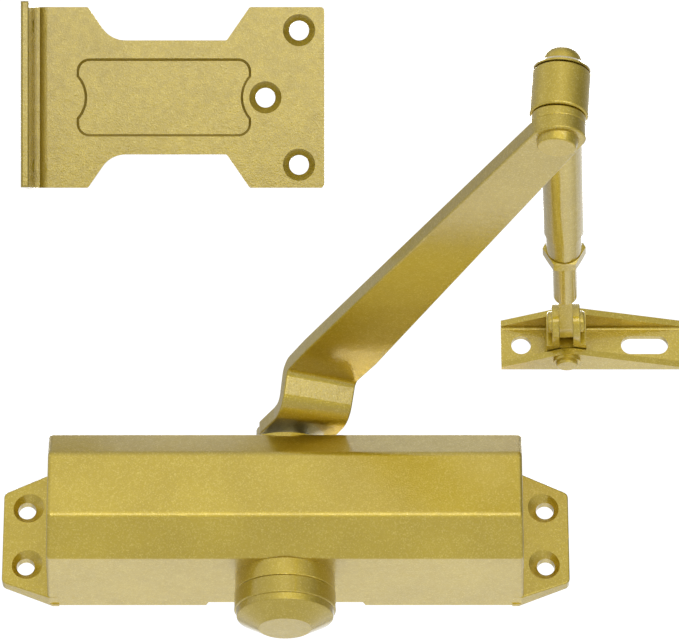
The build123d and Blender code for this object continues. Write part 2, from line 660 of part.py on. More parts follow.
with BuildPart() as arm:
    # The strip's underside, with a large radius at the foot of the step and a tight one above
    with BuildSketch(ARM_SIDE):
        with BuildLine():
            FilletPolyline(
                (-2 * ARM_BASE_HALF_WIDTH, ARM_BASE_Z),
                (JOGGLE_FOOT, ARM_BASE_Z),
                (JOGGLE_HEAD, ARM_OUTER_Z),
                (ARM_LENGTH + 2 * ARM_TIP_HALF_WIDTH, ARM_OUTER_Z),
                radius=UNDERSIDE_ROUNDS,
            )
            offset(amount=ARM_THICKNESS, side=Side.LEFT)
        make_face()
    extrude(amount=2 * ARM_BASE_HALF_WIDTH, both=True)
    # The plan: a rounded heel, a waist on the left edge below the step, and a long taper
    with BuildSketch(ARM_PLAN):
        Circle(ARM_HEEL_R)
        with BuildLine():
            left_edge = FilletPolyline(
                (-HEEL_START, -ARM_HEEL_HALF_WIDTH / 2),
                (HEEL_SHOULDER_AT, -ARM_HEEL_HALF_WIDTH),
                (WAIST_AT, -WAIST_HALF_WIDTH),
                (STEP_AT, -STEP_LEFT_HALF_WIDTH),
                (ARM_FULL_AT, -ARM_LEFT_HALF_WIDTH),
                (ARM_LENGTH, -ARM_TIP_HALF_WIDTH),
                radius=LEFT_EDGE_ROUNDS,
            )
            right_edge = FilletPolyline(
                (-HEEL_START, ARM_HEEL_HALF_WIDTH / 2),
                (HEEL_SHOULDER_AT, ARM_BASE_HALF_WIDTH),
                (STEP_AT, STEP_RIGHT_HALF_WIDTH),
                (ARM_FULL_AT, ARM_RIGHT_HALF_WIDTH),
                (ARM_LENGTH, ARM_TIP_HALF_WIDTH),
                radius=RIGHT_EDGE_ROUNDS,
            )
            Line(left_edge @ 0, right_edge @ 0)
            Line(left_edge @ 1, right_edge @ 1)
        make_face()
        with Locations((ARM_LENGTH, 0)):
            Circle(ARM_TIP_HALF_WIDTH)
    extrude(amount=2 * ARM_OUTER_Z, mode=Mode.INTERSECT)
    fillet(arm.edges().filter_by(lambda e: abs(e.center().Z - ARM_OUTER_Z) < CLEAR_GAP), ARM_EDGE_ROUND)
    with BuildSketch(ARM_PLAN):
        RectangleRounded(SQUARE + CLEAR_GAP, SQUARE + CLEAR_GAP, SQUARE_CORNER_R)
    extrude(amount=ARM_OUTER_Z, mode=Mode.SUBTRACT)
    with BuildSketch(on_elbow(ARM_OUTER_Z - ARM_THICKNESS)):
        Circle(ELBOW_PIN_R + RUNNING_GAP)
    extrude(amount=3 * ARM_THICKNESS, mode=Mode.SUBTRACT)
save(arm, "main_arm")

ring("arm_washer", on_spindle(arm_top), ARM_WASHER_R, ARM_SCREW_R + CLEAR_GAP, ARM_WASHER_THICKNESS)

with BuildPart() as arm_screw:
    with BuildSketch(on_spindle(arm_top + ARM_WASHER_THICKNESS)):
        RegularPolygon(ARM_SCREW_FLATS / 2, 6, major_radius=False)
    extrude(amount=ARM_SCREW_HEAD)
    with BuildSketch(on_spindle(arm_top + ARM_WASHER_THICKNESS)):
        Circle(ARM_SCREW_R - RUNNING_GAP)
    extrude(amount=-ARM_SCREW_DEPTH)
save(arm_screw, "arm_screw")

# ---------------------------------------------------------------- elbow
RIVET_FACE_R = 5.4
RIVET_HEAD_HEIGHT = 2.4
RIVET_HEAD_TAPER = 14.0
RIVET_RIM_ROUND = 0.5
DOME_R = 5.4
DOME_HEIGHT = 5.0
DOME_ROUND = 3.2
CAP_WASHER_R = 8.15
CAP_WASHER_BEVEL = 1.2
CAP_WASHER_BOTTOM = HUB_TOP_Z + 0.3
CAP_WASHER_TOP = 58.6
collar_bottom = ARM_OUTER_Z + ARM_THICKNESS

with BuildPart() as collar:
    # Ground off level where it rests on the arm, because the rivet leans
    with BuildSketch(on_elbow(ARM_OUTER_Z)):
        Circle(COLLAR_R)
        Circle(ELBOW_PIN_R + RUNNING_GAP, mode=Mode.SUBTRACT)
    extrude(amount=HUB_BOTTOM_Z - 2 * CLEAR_GAP - ARM_OUTER_Z)
    split(bisect_by=Plane.XY.offset(collar_bottom), keep=Keep.TOP)
    outer_rims = collar.edges().filter_by(lambda e: e.length > 2 * math.pi * (COLLAR_R - CLEAR_GAP))
    fillet(outer_rims, COLLAR_ROUND)
save(collar, "elbow_collar")

with BuildPart() as elbow_rivet:
    with BuildSketch(on_elbow(ARM_OUTER_Z - RIVET_HEAD_HEIGHT)):
        Circle(RIVET_FACE_R)
    extrude(amount=2 * RIVET_HEAD_HEIGHT, taper=-RIVET_HEAD_TAPER)
    split(bisect_by=Plane.XY.offset(ARM_OUTER_Z), keep=Keep.BOTTOM)
    fillet(elbow_rivet.faces().sort_by(Axis.Z)[0].edges(), RIVET_RIM_ROUND)
    with BuildSketch(on_elbow(ARM_OUTER_Z - RIVET_HEAD_HEIGHT / 2)):
        Circle(ELBOW_PIN_R)
    extrude(amount=CAP_WASHER_TOP - ARM_OUTER_Z + RIVET_HEAD_HEIGHT / 2)
    with BuildSketch(on_elbow(CAP_WASHER_TOP)):
        Circle(DOME_R)
    extrude(amount=DOME_HEIGHT)
    fillet(elbow_rivet.faces().sort_by(Axis.Z)[-1].edges(), DOME_ROUND)
save(elbow_rivet, "elbow_rivet")

with BuildPart() as elbow_cap:
    with BuildSketch(on_elbow(CAP_WASHER_BOTTOM)):
        Circle(CAP_WASHER_R)
        Circle(ELBOW_PIN_R + RUNNING_GAP, mode=Mode.SUBTRACT)
    extrude(amount=CAP_WASHER_TOP - CAP_WASHER_BOTTOM)
    chamfer(elbow_cap.faces().sort_by(Axis.Z)[-1].edges().sort_by(SortBy.RADIUS)[-1], CAP_WASHER_BEVEL)
save(elbow_cap, "elbow_cap")

# ---------------------------------------------------------------- forearm
ROD_BORE_AT = 48.0
TUBE_ROUND = 0.4
TUBE_END_BEVEL = 0.6
HUB_ROUND = 0.7
ROD_START_BEVEL = 0.8
ROD_END_ROUND = 0.5
BLADE_START_AT = ROD_SHOULDER_AT - 5
BLADE_ROOT_HALF = 2.7
BLADE_FULL_AT = CLEVIS_RIVET_AT - BLADE_R
CLEVIS_RIVET_R = 2.0
NUT_START_AT = TUBE_END_AT + CLEAR_GAP
NUT_CORNER_R = 6.4
NUT_END_LENGTH = 0.35
NUT_END_DEPTH = 0.8

with BuildPart() as forearm:
    with BuildSketch(on_forearm(0)):
        Circle(TUBE_R)
    extrude(amount=TUBE_STEP_AT)
    with BuildSketch(on_forearm(0)):
        Circle(TUBE_END_R)
    extrude(amount=TUBE_END_AT)
    tube_rims = forearm.edges().filter_by(GeomType.CIRCLE).filter_by(lambda e: e.radius > TUBE_END_R)
    fillet(tube_rims, TUBE_ROUND)
    chamfer(forearm.faces().sort_by(Axis.Y)[-1].edges(), TUBE_END_BEVEL)
    with BuildSketch(on_elbow(HUB_BOTTOM_Z)):
        Circle(HUB_R)
    extrude(amount=HUB_TOP_Z - HUB_BOTTOM_Z)
    rims = forearm.edges().filter_by(GeomType.CIRCLE).filter_by(lambda e: e.radius > HUB_R - CLEAR_GAP)
    fillet(rims, HUB_ROUND)
    with BuildSketch(on_elbow(HUB_BOTTOM_Z)):
        Circle(ELBOW_PIN_R + RUNNING_GAP)
    extrude(amount=HUB_TOP_Z - HUB_BOTTOM_Z, mode=Mode.SUBTRACT)
    with BuildSketch(on_forearm(ROD_BORE_AT)):
        Circle(ROD_R + RUNNING_GAP)
    extrude(amount=TUBE_END_AT - ROD_BORE_AT, mode=Mode.SUBTRACT)
save(forearm, "forearm")

with BuildPart() as rod:
    with BuildSketch(on_forearm(ROD_START_AT)):
        Circle(ROD_R)
    extrude(amount=ROD_SHOULDER_AT - ROD_START_AT)
    fillet(rod.faces().sort_by(Axis.Y)[-1].edges(), ROD_END_ROUND)
    chamfer(rod.faces().sort_by(Axis.Y)[0].edges(), ROD_START_BEVEL)
    # A blade flattened from the rod, round about the rivet
    with BuildSketch(Plane(on_forearm(0).origin, x_dir=FOREARM_DIRECTION, z_dir=FOREARM_ACROSS)):
        with BuildLine():
            Polyline(
                (BLADE_START_AT, -BLADE_ROOT_HALF),
                (ROD_SHOULDER_AT, -BLADE_ROOT_HALF),
                (BLADE_FULL_AT, -BLADE_R),
                (CLEVIS_RIVET_AT, -BLADE_R),
                (CLEVIS_RIVET_AT, BLADE_R),
                (BLADE_FULL_AT, BLADE_R),
                (ROD_SHOULDER_AT, BLADE_ROOT_HALF),
                (BLADE_START_AT, BLADE_ROOT_HALF),
                close=True,
            )
        make_face()
        with Locations((CLEVIS_RIVET_AT, 0)):
            Circle(BLADE_R)
            Circle(CLEVIS_RIVET_R + RUNNING_GAP, mode=Mode.SUBTRACT)
    extrude(amount=BLADE_THICKNESS / 2, both=True)
save(rod, "adjuster_rod")

with BuildPart() as locknut:
    with BuildSketch(on_forearm(NUT_START_AT)):
        RegularPolygon(NUT_FLATS / 2, 6, major_radius=False)
    extrude(amount=NUT_LENGTH)
    # Both ends are turned to a blunt cone, which rounds the corners
    with BuildPart(mode=Mode.PRIVATE) as turning:
        with BuildSketch(on_forearm(NUT_START_AT)):
            Circle(NUT_CORNER_R)
        extrude(amount=NUT_LENGTH)
        chamfer(turning.edges().filter_by(GeomType.CIRCLE), NUT_END_LENGTH, NUT_END_DEPTH)
    add(turning.part, mode=Mode.INTERSECT)
    with BuildSketch(on_forearm(TUBE_END_AT)):
        Circle(ROD_R + RUNNING_GAP)
    extrude(amount=NUT_LENGTH * 2, mode=Mode.SUBTRACT)
save(locknut, "locknut")

# ---------------------------------------------------------------- swivel clevis
CLEVIS_RIVET_HEAD_R = 3.3
CLEVIS_RIVET_HEAD = 1.4
CLEVIS_RIVET_ROUND = 0.8
BLOCK_START_AT = FOREARM_LENGTH - BARREL_R
CLEVIS_SLOT_END = FOREARM_LENGTH - PIN_R - 1.6
EAR_BACK = FOREARM_LENGTH - PIN_R
ear_side = Plane(on_forearm(0).origin, x_dir=FOREARM_DIRECTION, z_dir=FOREARM_ACROSS)

with BuildPart() as clevis:
    with BuildSketch(Plane((PIN_X, PIN_Y, FOREARM_Z - CLEVIS_HALF_HEIGHT))):
        Circle(BARREL_R)
    extrude(amount=2 * CLEVIS_HALF_HEIGHT)
    with BuildSketch(ear_side):
        with BuildLine():
            Polyline(
                (EAR_BACK, -CLEVIS_HALF_HEIGHT),
                (EAR_BACK, CLEVIS_HALF_HEIGHT),
                (CLEVIS_RIVET_AT, EAR_R),
                (CLEVIS_RIVET_AT, -EAR_R),
                close=True,
            )
        make_face()
        with Locations((CLEVIS_RIVET_AT, 0)):
            Circle(EAR_R)
    extrude(amount=EAR_HALF_WIDTH, both=True)
    ear_rims = clevis.edges().filter_by(GeomType.CIRCLE).filter_by(lambda e: e.center().Y < PIN_Y - EAR_R)
    fillet(ear_rims, EAR_ROUND)
    # A wider block about the pin, on the forearm's side of it
    with BuildSketch(ear_side):
        with BuildLine():
            Polyline(
                (BLOCK_START_AT, -CLEVIS_HALF_HEIGHT),
                (BLOCK_START_AT, CLEVIS_HALF_HEIGHT),
                (FOREARM_LENGTH, CLEVIS_HALF_HEIGHT),
                (FOREARM_LENGTH, -CLEVIS_HALF_HEIGHT),
                close=True,
            )
        make_face()
    extrude(amount=BLOCK_HALF_WIDTH, both=True)
    # The gap between the ears, which takes the blade
    with BuildSketch(forearm_plan(FOREARM_Z - 2 * CLEVIS_HALF_HEIGHT)):
        with BuildLine():
            Polyline(
                (CLEVIS_RIVET_AT - 2 * EAR_R, -BLADE_THICKNESS / 2 - CLEAR_GAP),
                (CLEVIS_SLOT_END, -BLADE_THICKNESS / 2 - CLEAR_GAP),
                (CLEVIS_SLOT_END, BLADE_THICKNESS / 2 + CLEAR_GAP),
                (CLEVIS_RIVET_AT - 2 * EAR_R, BLADE_THICKNESS / 2 + CLEAR_GAP),
                close=True,
            )
        make_face()
    extrude(amount=4 * CLEVIS_HALF_HEIGHT, mode=Mode.SUBTRACT)
    with BuildSketch(ear_side):
        with Locations((CLEVIS_RIVET_AT, 0)):
            Circle(CLEVIS_RIVET_R)
    extrude(amount=2 * EAR_HALF_WIDTH, both=True, mode=Mode.SUBTRACT)
    with BuildSketch(Plane((PIN_X, PIN_Y, FOREARM_Z - 2 * CLEVIS_HALF_HEIGHT))):
        Circle(PIN_R + RUNNING_GAP)
    extrude(amount=4 * CLEVIS_HALF_HEIGHT, mode=Mode.SUBTRACT)
save(clevis, "swivel_clevis")

with BuildPart() as clevis_rivet:
    with BuildSketch(ear_side):
        with Locations((CLEVIS_RIVET_AT, 0)):
            Circle(CLEVIS_RIVET_R - PRESS_GAP)
    extrude(amount=EAR_HALF_WIDTH, both=True)
    for side in (-1, 1):
        with BuildSketch(ear_side.offset(side * EAR_HALF_WIDTH)):
            with Locations((CLEVIS_RIVET_AT, 0)):
                Circle(CLEVIS_RIVET_HEAD_R)
        extrude(amount=side * CLEVIS_RIVET_HEAD)
    ends = clevis_rivet.faces().filter_by(GeomType.PLANE).sort_by(Axis.X)
    fillet(ends[0].edges() + ends[-1].edges(), CLEVIS_RIVET_ROUND)
save(clevis_rivet, "clevis_rivet")

# ---------------------------------------------------------------- shoe and its pin
PIN_HEAD_R = 4.2
PIN_STEP_R = 3.3
PIN_HEAD = 1.0
PIN_STEP = 1.1
PIN_RIM_ROUND = 0.4
SHOE_NOSE_R = 6.0
SHOE_BEND_R = 1.6
SHOE_INNER_BEND_R = 0.8
shoe_bottom = FOREARM_Z - SHOE_HALF_HEIGHT
shoe_front = SHOE_BACK_Y - SHOE_DEPTH

with BuildPart() as shoe:
    with BuildSketch(Plane.XY.offset(shoe_bottom)):
        with BuildLine():
            Polyline(
                (SHOE_LEFT_X, SHOE_BACK_Y),
                (SHOE_LEFT_X, SHOE_BACK_Y - SHOE_TIP_DEPTH),
                (PIN_X, shoe_front),
                (SHOE_RIGHT_X, SHOE_BACK_Y - SHOE_TIP_DEPTH),
                (SHOE_RIGHT_X, SHOE_BACK_Y),
                close=True,
            )
        make_face()
    extrude(amount=2 * SHOE_HALF_HEIGHT)
    nose = shoe.edges().filter_by(Axis.Z).sort_by(Axis.Y)[0]
    fillet(nose, SHOE_NOSE_R)
    spine = shoe.edges().filter_by(Axis.X).filter_by(lambda e: e.center().Y > SHOE_BACK_Y - CLEAR_GAP)
    fillet(spine, SHOE_BEND_R)
    with BuildSketch(Plane.XY.offset(shoe_bottom + SHOE_SHEET)):
        with BuildLine():
            Polyline(
                (SHOE_LEFT_X - SHOE_SHEET, SHOE_BACK_Y - SHOE_SHEET),
                (SHOE_RIGHT_X + SHOE_SHEET, SHOE_BACK_Y - SHOE_SHEET),
                (SHOE_RIGHT_X + SHOE_SHEET, shoe_front - SHOE_SHEET),
                (SHOE_LEFT_X - SHOE_SHEET, shoe_front - SHOE_SHEET),
                close=True,
            )
        make_face()
    extrude(amount=2 * (SHOE_HALF_HEIGHT - SHOE_SHEET), mode=Mode.SUBTRACT)
    inner = shoe.edges().filter_by(Axis.X).filter_by(
        lambda e: abs(e.center().Y - SHOE_BACK_Y + SHOE_SHEET) < CLEAR_GAP
        and abs(e.center().Z - FOREARM_Z) < SHOE_HALF_HEIGHT - CLEAR_GAP
    )
    fillet(inner, SHOE_INNER_BEND_R)
    with BuildSketch(Plane.XZ.offset(-SHOE_BACK_Y)):
        with Locations((SHOE_HOLE_X, FOREARM_Z)):
            Circle(SHOE_HOLE_R)
        with Locations((SHOE_SLOT_X, FOREARM_Z)):
            SlotOverall(SHOE_SLOT_LENGTH, 2 * SHOE_HOLE_R)
    extrude(amount=SHOE_SHEET, mode=Mode.SUBTRACT)
    with BuildSketch(Plane((PIN_X, PIN_Y, shoe_bottom))):
        Circle(PIN_R + RUNNING_GAP)
    extrude(amount=2 * SHOE_HALF_HEIGHT, mode=Mode.SUBTRACT)
save(shoe, "shoe")

with BuildPart() as shoe_pin:
    with BuildSketch(Plane((PIN_X, PIN_Y, shoe_bottom))):
        Circle(PIN_R)
    extrude(amount=2 * SHOE_HALF_HEIGHT)
    for side in (-1, 1):
        face_z = FOREARM_Z + side * SHOE_HALF_HEIGHT
        with BuildSketch(Plane((PIN_X, PIN_Y, face_z))):
            Circle(PIN_HEAD_R)
        extrude(amount=side * PIN_HEAD)
        with BuildSketch(Plane((PIN_X, PIN_Y, face_z + side * PIN_HEAD))):
            Circle(PIN_STEP_R)
        extrude(amount=side * PIN_STEP)
    ends = shoe_pin.faces().filter_by(GeomType.PLANE).sort_by(Axis.Z)
    fillet(ends[0].edges() + ends[-1].edges(), PIN_RIM_ROUND)
save(shoe_pin, "shoe_pin")

# ---------------------------------------------------------------- loose bracket
RECESS_LEFT = -32.2
RECESS_RIGHT = 22.5
RECESS_HALF_HEIGHT = 11.8
RECESS_DEPTH = 1.2
RECESS_WAIST = 2.6
RECESS_WAIST_R = 10.6
RECESS_CORNER_R = 3.4
RECESS_DRAFT = 34.0
FLANGE_RIM_ROUND = 0.7
BRACKET_ROUNDS = (0.3, 1.0, 9.0, 1.0, 1.0, 1.2)
FLANGE_HOLE_Y = 22.3
FLANGE_HOLE_AT = 14.0
FLANGE_HOLE_R = 2.1
NECK_LEFT = -21.9
NECK_RIGHT = 15.4
NECK_SLOPE = 7.45
BRACKET_HOLES = ((38.75, 21.7), (27.9, 0), (38.75, -21.7))
FOLD_INNER = BRACKET_LEFT + FLANGE_SHEET
GROOVE_WIDTH = 0.7
GROOVE_DEPTH = 0.7
CROWN_WIDTH = 2.5
CROWN_R = (CROWN_WIDTH**2 + GROOVE_DEPTH**2) / (2 * GROOVE_DEPTH)

bracket_face = Plane(
    (BRACKET_X, BRACKET_Y, BRACKET_Z),
    x_dir=(1, 0, 0),
    z_dir=(0, -math.cos(BRACKET_LEAN), -math.sin(BRACKET_LEAN)),
)
bracket_section = Plane(bracket_face.origin, x_dir=(1, 0, 0), z_dir=-bracket_face.y_dir)
flange_offset = BRACKET_FLANGE * math.tan(FLANGE_LEAN)
flange_centre_x = BRACKET_LEFT + FLANGE_SHEET / 2 - FLANGE_HOLE_AT * math.tan(FLANGE_LEAN)
flange_face = Plane(
    bracket_face.from_local_coords((flange_centre_x, 0, FLANGE_HOLE_AT)),
    x_dir=bracket_face.y_dir,
    z_dir=Vector(math.cos(FLANGE_LEAN), 0, 0) + bracket_face.z_dir * math.sin(FLANGE_LEAN),
)

with BuildPart() as bracket:
    with BuildSketch(bracket_face):
        for side in (-1, 1):
            with BuildLine():
                FilletPolyline(
                    (BRACKET_LEFT, 0),
                    (BRACKET_LEFT, side * BRACKET_HALF_HEIGHT),
                    (NECK_LEFT - NECK_SLOPE, side * BRACKET_HALF_HEIGHT),
                    (NECK_LEFT, side * BRACKET_NECK),
                    (NECK_RIGHT, side * BRACKET_NECK),
                    (NECK_RIGHT + NECK_SLOPE, side * BRACKET_HALF_HEIGHT),
                    (BRACKET_RIGHT, side * BRACKET_HALF_HEIGHT),
                    (BRACKET_RIGHT, 0),
                    radius=BRACKET_ROUNDS,
                )
                Line((BRACKET_RIGHT, 0), (BRACKET_LEFT, 0))
            make_face()
    extrude(amount=BRACKET_SHEET)
    # The flange stands on the left edge, towards the front, and leans a little outwards
    with BuildSketch(bracket_section):
        with BuildLine():
            Polyline(
                (BRACKET_LEFT, 0),
                (BRACKET_LEFT - flange_offset, BRACKET_FLANGE),
                (BRACKET_LEFT - flange_offset + FLANGE_SHEET, BRACKET_FLANGE),
                (BRACKET_LEFT + FLANGE_SHEET, 0),
                close=True,
            )
        make_face()
    extrude(amount=FLANGE_HALF_HEIGHT, both=True)
    outwards = Axis(bracket_face.origin, bracket_face.z_dir)
    fillet(bracket.faces().sort_by(outwards)[-1].edges(), FLANGE_RIM_ROUND)
    # A groove along the inside of the fold, with the plate crowned beside it
    with BuildSketch(bracket_section):
        with BuildLine():
            start = (FOLD_INNER + GROOVE_WIDTH, BRACKET_SHEET - GROOVE_DEPTH)
            end = (FOLD_INNER + GROOVE_WIDTH + CROWN_WIDTH, BRACKET_SHEET)
            RadiusArc(start, end, CROWN_R)
            Polyline(end, (end[0], 2 * BRACKET_SHEET), (FOLD_INNER, 2 * BRACKET_SHEET))
            Polyline((FOLD_INNER, 2 * BRACKET_SHEET), (FOLD_INNER, start[1]), start)
        make_face()
    extrude(amount=FLANGE_HALF_HEIGHT, both=True, mode=Mode.SUBTRACT)
    with BuildSketch(bracket_face.offset(BRACKET_SHEET - RECESS_DEPTH)):
        with Locations(((RECESS_LEFT + RECESS_RIGHT) / 2, 0)):
            RectangleRounded(RECESS_RIGHT - RECESS_LEFT, 2 * RECESS_HALF_HEIGHT, RECESS_CORNER_R)
        with Locations(
            (RECESS_LEFT + RECESS_WAIST - RECESS_WAIST_R, 0),
            (RECESS_RIGHT - RECESS_WAIST + RECESS_WAIST_R, 0),
        ):
            Circle(RECESS_WAIST_R, mode=Mode.SUBTRACT)
    extrude(amount=RECESS_DEPTH, taper=-RECESS_DRAFT, mode=Mode.SUBTRACT)
    with Locations(bracket_face.offset(BRACKET_SHEET)):
        with Locations(*BRACKET_HOLES):
            CounterSinkHole(BRACKET_HOLE_R, BRACKET_SINK_R, 2 * BRACKET_SHEET, 90)
    with BuildSketch(flange_face):
        with Locations((FLANGE_HOLE_Y, 0), (-FLANGE_HOLE_Y, 0)):
            Circle(FLANGE_HOLE_R)
    extrude(amount=FLANGE_SHEET, both=True, mode=Mode.SUBTRACT)
save(bracket, "parallel_arm_bracket")
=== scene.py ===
import math

import bmesh
import bpy
from mathutils import Matrix, Vector


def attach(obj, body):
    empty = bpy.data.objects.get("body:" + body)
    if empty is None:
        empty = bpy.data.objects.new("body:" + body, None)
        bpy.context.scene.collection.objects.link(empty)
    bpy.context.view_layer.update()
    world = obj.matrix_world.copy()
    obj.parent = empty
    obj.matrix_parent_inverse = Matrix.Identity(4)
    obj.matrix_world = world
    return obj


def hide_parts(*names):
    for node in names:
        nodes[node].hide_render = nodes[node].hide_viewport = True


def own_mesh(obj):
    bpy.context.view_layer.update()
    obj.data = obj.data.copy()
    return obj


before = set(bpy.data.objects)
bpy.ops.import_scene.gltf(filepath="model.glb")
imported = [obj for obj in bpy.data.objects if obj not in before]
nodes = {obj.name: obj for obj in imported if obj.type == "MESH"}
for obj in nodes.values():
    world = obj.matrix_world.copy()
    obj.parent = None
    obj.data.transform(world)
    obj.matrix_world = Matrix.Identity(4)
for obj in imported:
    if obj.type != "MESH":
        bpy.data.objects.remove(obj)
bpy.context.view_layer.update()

# ---------------------------------------------------------------- camera
LENS = 265.6
SENSOR_WIDTH = 36.0
CLIP_NEAR = 0.05
CLIP_FAR = 60.0
LOOK_AT = Vector((0.01678, 0.0, 0.07734))
LOOK_UP = math.radians(25.62)
LOOK_TURN = math.radians(0.11)
ROLL = math.radians(-0.05)
CAMERA_DISTANCE = 1.6005


def show(name, data):
    """A new object of this mesh, camera or light, linked into the scene."""
    thing = bpy.data.objects.new(name, data)
    bpy.context.scene.collection.objects.link(thing)
    return thing


def make_camera():
    """A long lens below the closer, looking up at it along +Y."""
    view = Vector((
        math.sin(LOOK_TURN) * math.cos(LOOK_UP),
        math.cos(LOOK_TURN) * math.cos(LOOK_UP),
        math.sin(LOOK_UP),
    ))
    data = bpy.data.cameras.new("camera")
    data.lens = LENS
    data.sensor_width = SENSOR_WIDTH
    data.clip_start = CLIP_NEAR
    data.clip_end = CLIP_FAR
    camera = show("camera", data)
    camera.location = LOOK_AT - view * CAMERA_DISTANCE
    turn = view.to_track_quat("-Z", "Y")
    camera.rotation_mode = "QUATERNION"
    camera.rotation_quaternion = turn @ Matrix.Rotation(ROLL, 4, "Z").to_quaternion()
    bpy.context.scene.camera = camera


# ---------------------------------------------------------------- node helpers
# The Mix node has sockets for each kind of value, and these are the colour ones
MIX_COLOUR_A = 6
MIX_COLOUR_B = 7
MIX_COLOUR_RESULT = 2
RANGE_SOCKETS = ("From Min", "From Max", "To Min", "To Max")


def spread(tree, value, *ends):
    """A value spread from one range over another: from low, from high, to low, to high."""
    node = tree.nodes.new("ShaderNodeMapRange")
    for socket, end in zip(RANGE_SOCKETS, ends):
        node.inputs[socket].default_value = end
    tree.links.new(value, node.inputs["Value"])
    return node.outputs["Result"]


class Shader:
    """A new material with its Principled shader, and short ways to add nodes to it."""

    def __init__(self, name):
        self.material = bpy.data.materials.new(name)
        self.material.use_nodes = True
        self.tree = self.material.node_tree
        self.surface = self.tree.nodes["Principled BSDF"]
        self.place = self.add("ShaderNodeTexCoord").outputs["Object"]

    def add(self, kind, **settings):
        node = self.tree.nodes.new(kind)
        for key, value in settings.items():
            setattr(node, key, value)
        return node

    def link(self, source, target):
        self.tree.links.new(source, target)

    def fix(self, **values):
        for key, value in values.items():
            self.surface.inputs[key.replace("_", " ")].default_value = value

    def stretched(self, scale):
        """The piece's own coordinates, stretched by a scale for each axis."""
        mapping = self.add("ShaderNodeMapping")
        mapping.inputs["Scale"].default_value = scale
        self.link(self.place, mapping.inputs["Vector"])
        return mapping.outputs["Vector"]

    def noise(self, per_metre, detail=2.0, roughness=0.5, place=None):
        node = self.add("ShaderNodeTexNoise")
        node.inputs["Scale"].default_value = per_metre
        node.inputs["Detail"].default_value = detail
        node.inputs["Roughness"].default_value = roughness
        self.link(place or self.place, node.inputs["Vector"])
        return node.outputs["Fac"]

    def cells(self, per_metre):
        node = self.add("ShaderNodeTexVoronoi")
        node.inputs["Scale"].default_value = per_metre
        self.link(self.place, node.inputs["Vector"])
        return node

    def ramp(self, value, *ends):
        return spread(self.tree, value, *ends)

    def share(self, noise):
        """A noise, spread over 0 to 1."""
        return self.ramp(noise, NOISE_LOW, NOISE_HIGH, 0.0, 1.0)

    def uneven_roughness(self, noise, least, most):
        """The surface's roughness, between two values by a noise."""
        roughness = self.ramp(noise, WIDE_NOISE_LOW, WIDE_NOISE_HIGH, least, most)
        self.link(roughness, self.surface.inputs["Roughness"])

    def mix(self, factor, low, high):
        """A colour between two colours, or sockets, by a factor socket."""
        node = self.add("ShaderNodeMix", data_type="RGBA")
        self.link(factor, node.inputs["Factor"])
        for socket, colour in ((node.inputs[MIX_COLOUR_A], low), (node.inputs[MIX_COLOUR_B], high)):
            if isinstance(colour, tuple):
                socket.default_value = (*colour, 1.0)
            else:
                self.link(colour, socket)
        return node.outputs[MIX_COLOUR_RESULT]

    def bump(self, height, distance, strength=1.0, under=None):
        node = self.add("ShaderNodeBump")
        node.inputs["Strength"].default_value = strength
        node.inputs["Distance"].default_value = distance
        self.link(height, node.inputs["Height"])
        if under is not None:
            self.link(under, node.inputs["Normal"])
        return node.outputs["Normal"]


# ---------------------------------------------------------------- materials
GOLD = (0.560, 0.415, 0.026)
GOLD_DEEP = (0.505, 0.370, 0.020)
GOLD_FLAKE = (0.90, 0.75, 0.20)
FLAKES_PER_METRE = 2900.0
FLAKE_HEIGHT = 0.00009
# Cells with a value above this are bright flakes, up to this share of the colour
FLAKE_FROM = 0.6
FLAKE_SHARE = 0.5
CLOUDS_PER_METRE = 45.0
PEEL_PER_METRE = 420.0
PEEL_HEIGHT = 0.000018
# Turned pieces have a smoother skin
FINE_SKIN_HEIGHT = 0.000008
DIMPLES_PER_METRE = 1500.0
HAMMER_HEIGHT = 0.00003
STREAKS_PER_METRE = 900.0
STREAK_HEIGHT = 0.00005
TURNING_MARKS_PER_METRE = 1500.0
TURNING_MARK_HEIGHT = 0.000012
# The middle of a noise, where most of its values lie, and a wider middle
NOISE_LOW = 0.35
NOISE_HIGH = 0.65
WIDE_NOISE_LOW = 0.3
WIDE_NOISE_HIGH = 0.7

ZINC = (0.62, 0.63, 0.60)
STEEL = (0.56, 0.57, 0.58)
BRASS = (0.72, 0.55, 0.24)
OILED_STEEL = (0.16, 0.16, 0.17)
IRON_DARK = (0.16, 0.16, 0.165)
IRON_LIGHT = (0.34, 0.34, 0.35)
RUBBER_DARK = (0.012, 0.012, 0.013)
RUBBER_LIGHT = (0.035, 0.035, 0.036)
WORN_SHADE = 0.8


def shaded(colour, shade):
    return tuple(shade * channel for channel in colour)


